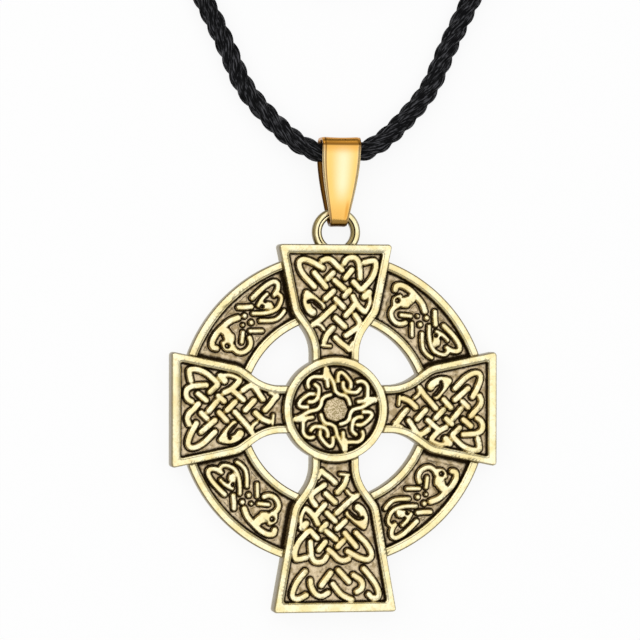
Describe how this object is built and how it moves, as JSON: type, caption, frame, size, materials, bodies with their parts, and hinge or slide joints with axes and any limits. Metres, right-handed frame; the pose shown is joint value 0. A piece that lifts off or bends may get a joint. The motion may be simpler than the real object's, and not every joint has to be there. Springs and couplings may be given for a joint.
{
  "type": "celtic cross pendant",
  "caption": "Ringed Celtic cross pendant with knotwork panels, a folded strip bail and a twisted rope necklace, lying flat with its spare rope coiled.",
  "frame": {"origin": "on the flat back of the cross, under the middle of its boss", "axes": "+Y up the cross towards its loop, +Z out of the carved face, +X to the right as the face is seen"},
  "size_m": [0.0409, 0.107, 0.0045],
  "materials": {
    "antique_gold_casting": "cast alloy with antiqued gold plate, dark in its recesses",
    "bright_gold_plate": "polished gold plate",
    "black_rope": "twisted three-strand rope with a faint sheen"
  },
  "bodies": {
    "root": {"cross": "antique_gold_casting", "bail": "bright_gold_plate", "rope": "black_rope", "rope_tail": "black_rope", "rope_coil": "black_rope", "clasp_plug": "bright_gold_plate", "clasp_socket": "bright_gold_plate"}
  },
  "joints": []
}
